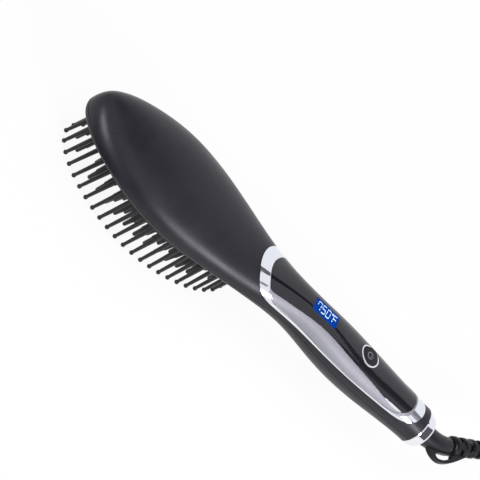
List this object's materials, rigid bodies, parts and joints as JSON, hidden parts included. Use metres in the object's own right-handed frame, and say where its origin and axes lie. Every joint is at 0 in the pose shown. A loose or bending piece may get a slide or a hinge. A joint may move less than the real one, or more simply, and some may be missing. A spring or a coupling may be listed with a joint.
{
  "type": "heated straightening brush",
  "caption": "Heated hair straightening brush with an oval bristle head, a round handle with a lit display and a power button, and a mains cord on a swivel.",
  "frame": {"origin": "centre of the brush's box, without its cord, at the height of the bristle tips that it stands on", "axes": "+X from the head's nose to the handle's tail, +Z from the bristle tips to the smooth back, +Y to the side that the cord bends to"},
  "size_m": [0.6413, 0.0871, 0.0499],
  "materials": {
    "soft_black": "soft touch matt coating",
    "chrome_trim": "mirror chrome plating",
    "panel_gloss": "polished",
    "display_blue": "clear blue lens",
    "led_white": "moulded light box",
    "button_satin": "satin",
    "spring_steel": "drawn wire and strip",
    "board_green": "solder mask",
    "component_black": "moulded epoxy",
    "capacitor_blue": "sleeved",
    "nylon_black": "heat proof nylon, satin",
    "plate_coated": "black ceramic coating",
    "ceramic_white": "glazed ceramic",
    "mica": "pressed sheet",
    "fuse_metal": "drawn can",
    "wire_white": "silicone insulation",
    "screw_steel": "zinc plated",
    "socket_black": "moulded acetal",
    "contact_copper": "bare copper alloy",
    "boot_rubber": "satin rubber",
    "strap_fabric": "woven strap",
    "pin_brass": "bright nickel brass"
  },
  "bodies": {
    "brush": {"back_shell": "soft_black", "front_shell": "soft_black", "trim_ring": "chrome_trim", "control_panel": "panel_gloss", "display_window": "display_blue", "display_module": "led_white", "button_ring": "chrome_trim", "button_spring": "spring_steel", "tact_switch": "button_satin", "circuit_board": "board_green", "triac": "component_black", "capacitor": "capacitor_blue", "bristle_base": "nylon_black", "outer_bristles": "nylon_black", "heating_plate": "plate_coated", "heating_teeth": "plate_coated", "tooth_tips": "nylon_black", "heater": "ceramic_white", "heater_clamps": "spring_steel", "mica_sheet": "mica", "thermal_fuse": "fuse_metal", "thermistor": "ceramic_white", "heater_wires": "wire_white", "supply_wires": "wire_white", "shell_screws": "screw_steel", "board_screws": "screw_steel", "plate_screws": "screw_steel", "screw_plugs": "soft_black", "tail_ring": "chrome_trim", "swivel_socket": "socket_black", "contact_brushes": "contact_copper"},
    "button": {"power_button": "button_satin"},
    "cord_swivel": {"swivel_spindle": "socket_black", "contact_rings": "contact_copper", "swivel_boot": "boot_rubber", "hang_loop": "boot_rubber", "strain_relief": "boot_rubber", "power_cord": "boot_rubber", "cord_hank": "boot_rubber", "hank_tie": "strap_fabric", "plug_body": "boot_rubber", "plug_pins": "pin_brass"}
  },
  "joints": [
    {"name": "button_press", "type": "slide", "parent": "brush", "child": "button", "axis": [0, 0, -1], "range_m": [0, 0.0006], "stiffness_N_per_m": 1200, "springref_m": -0.0004, "deforming": ["button_spring"]},
    {"name": "cord_turn", "type": "hinge", "parent": "brush", "child": "cord_swivel", "pos_m": [0.1221, 0, 0.0305], "axis": [1, 0, 0], "continuous": true}
  ]
}
